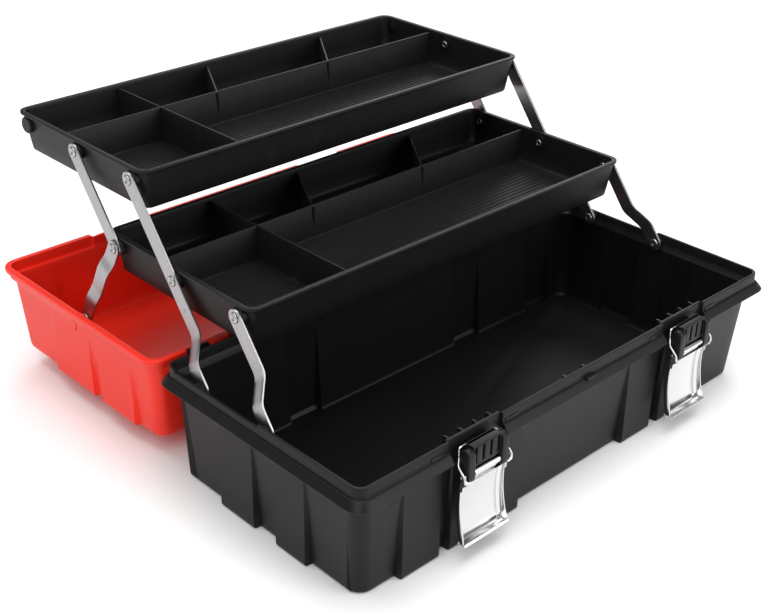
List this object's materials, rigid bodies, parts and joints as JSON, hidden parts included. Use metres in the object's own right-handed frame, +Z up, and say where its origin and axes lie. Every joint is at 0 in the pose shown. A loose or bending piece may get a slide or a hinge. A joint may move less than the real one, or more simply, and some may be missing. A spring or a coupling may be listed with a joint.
{
  "type": "cantilever tool box",
  "caption": "Moulded cantilever tool box, open: base tub, hinged lid behind it, two divided trays swung out on riveted strip links, and front toggle latches.",
  "frame": {"origin": "centre of the base tub's underside, on the floor", "axes": "+X along the length, to the right seen from the latch side; +Y to the rear, where the lid is hinged and lies open; +Z up"},
  "size_m": [0.43, 0.4238, 0.2094],
  "materials": {
    "base_plastic": "moulded satin black polypropylene",
    "tray_plastic": "moulded satin black polypropylene",
    "latch_plastic": "moulded black plastic",
    "handle_plastic": "moulded black plastic",
    "lid_plastic": "moulded bright red polypropylene, satin gloss",
    "link_steel": "zinc plated strip",
    "rivet_steel": "zinc plated",
    "latch_steel": "bright nickel plated pressing",
    "latch_wire": "bright plated wire",
    "pin_steel": "plain drawn steel"
  },
  "bodies": {
    "base": {"base_shell": "base_plastic", "base_front_rivets": "rivet_steel", "base_rear_rivets": "rivet_steel", "latch_block_left": "latch_plastic", "latch_block_right": "latch_plastic", "latch_pin_left": "latch_wire", "latch_pin_right": "latch_wire"},
    "hinge_rod": {"hinge_pin": "pin_steel"},
    "lid": {"lid_shell": "lid_plastic", "handle_pins": "pin_steel"},
    "handle": {"lid_handle": "handle_plastic"},
    "front_links": {"front_link_left": "link_steel", "front_link_right": "link_steel"},
    "long_links": {"long_link_left": "link_steel", "long_link_right": "link_steel"},
    "lower_tray": {"lower_tray": "tray_plastic", "lower_front_rivets": "rivet_steel", "lower_middle_rivets": "rivet_steel", "lower_rear_rivets": "rivet_steel"},
    "upper_tray": {"upper_tray": "tray_plastic", "upper_front_rivets": "rivet_steel", "upper_middle_rivets": "rivet_steel"},
    "rear_links": {"rear_link_left": "link_steel", "rear_link_right": "link_steel"},
    "lid_links": {"lid_link_left": "link_steel", "lid_link_right": "link_steel", "lid_link_rivets": "rivet_steel"},
    "latch_lever_left": {"latch_plate_left": "latch_steel"},
    "latch_lever_right": {"latch_plate_right": "latch_steel"},
    "bail_left": {"latch_bail_left": "latch_wire"},
    "bail_right": {"latch_bail_right": "latch_wire"}
  },
  "joints": [
    {"name": "lid_play", "type": "hinge", "parent": "base", "child": "hinge_rod", "pos_m": [0, 0.104, 0.0845], "axis": [1, 0, 0], "range_deg": [0, 26]},
    {"name": "lid_hinge", "type": "hinge", "parent": "hinge_rod", "child": "lid", "pos_m": [0, 0.104, 0.0845], "axis": [1, 0, 0], "range_deg": [0, 154]},
    {"name": "long_crank", "type": "hinge", "parent": "base", "child": "long_links", "pos_m": [0, 0.064, 0.083], "axis": [1, 0, 0], "range_deg": [0, 104.45]},
    {"name": "front_crank", "type": "hinge", "parent": "base", "child": "front_links", "pos_m": [0, -0.004, 0.083], "axis": [1, 0, 0], "range_deg": [0, 104.45]},
    {"name": "lower_tray_level", "type": "hinge", "parent": "long_links", "child": "lower_tray", "pos_m": [0, 0.10895, 0.14179], "axis": [1, 0, 0], "range_deg": [-104.45, 0]},
    {"name": "upper_tray_level", "type": "hinge", "parent": "long_links", "child": "upper_tray", "pos_m": [0, 0.15389, 0.20057], "axis": [1, 0, 0], "range_deg": [-104.45, 0]},
    {"name": "rear_crank", "type": "hinge", "parent": "lower_tray", "child": "rear_links", "pos_m": [0, 0.17695, 0.14179], "axis": [1, 0, 0], "range_deg": [0, 104.45]},
    {"name": "lid_link_swing", "type": "hinge", "parent": "lower_tray", "child": "lid_links", "pos_m": [0, 0.17695, 0.14179], "axis": [1, 0, 0], "range_deg": [0, 254.98]},
    {"name": "handle_swing", "type": "hinge", "parent": "lid", "child": "handle", "pos_m": [0, 0.208, 0.0075], "axis": [-1, 0, 0], "range_deg": [0, 95]},
    {"name": "latch_lift_left", "type": "hinge", "parent": "base", "child": "latch_lever_left", "pos_m": [-0.11, -0.106, 0.0664], "axis": [-1, 0, 0], "range_deg": [0, 130]},
    {"name": "bail_tilt_left", "type": "hinge", "parent": "latch_lever_left", "child": "bail_left", "pos_m": [-0.11, -0.1076, 0.061], "axis": [-1, 0, 0], "range_deg": [-156.05, 0]},
    {"name": "latch_lift_right", "type": "hinge", "parent": "base", "child": "latch_lever_right", "pos_m": [0.11, -0.106, 0.0664], "axis": [-1, 0, 0], "range_deg": [0, 130]},
    {"name": "bail_tilt_right", "type": "hinge", "parent": "latch_lever_right", "child": "bail_right", "pos_m": [0.11, -0.1076, 0.061], "axis": [-1, 0, 0], "range_deg": [-156.05, 0]}
  ],
  "couplings": [
    {"joint": "long_crank", "follows": "lid_hinge", "ratio": 0.67792},
    {"joint": "front_crank", "follows": "lid_hinge", "ratio": 0.67792},
    {"joint": "lower_tray_level", "follows": "lid_hinge", "ratio": -0.67792},
    {"joint": "upper_tray_level", "follows": "lid_hinge", "ratio": -0.67792},
    {"joint": "rear_crank", "follows": "lid_hinge", "ratio": 0.67792},
    {"joint": "lid_link_swing", "follows": "lid_hinge", "ratio": 1.6554},
    {"joint": "bail_tilt_left", "follows": "latch_lift_left", "ratio": -1.2},
    {"joint": "bail_tilt_right", "follows": "latch_lift_right", "ratio": -1.2}
  ]
}
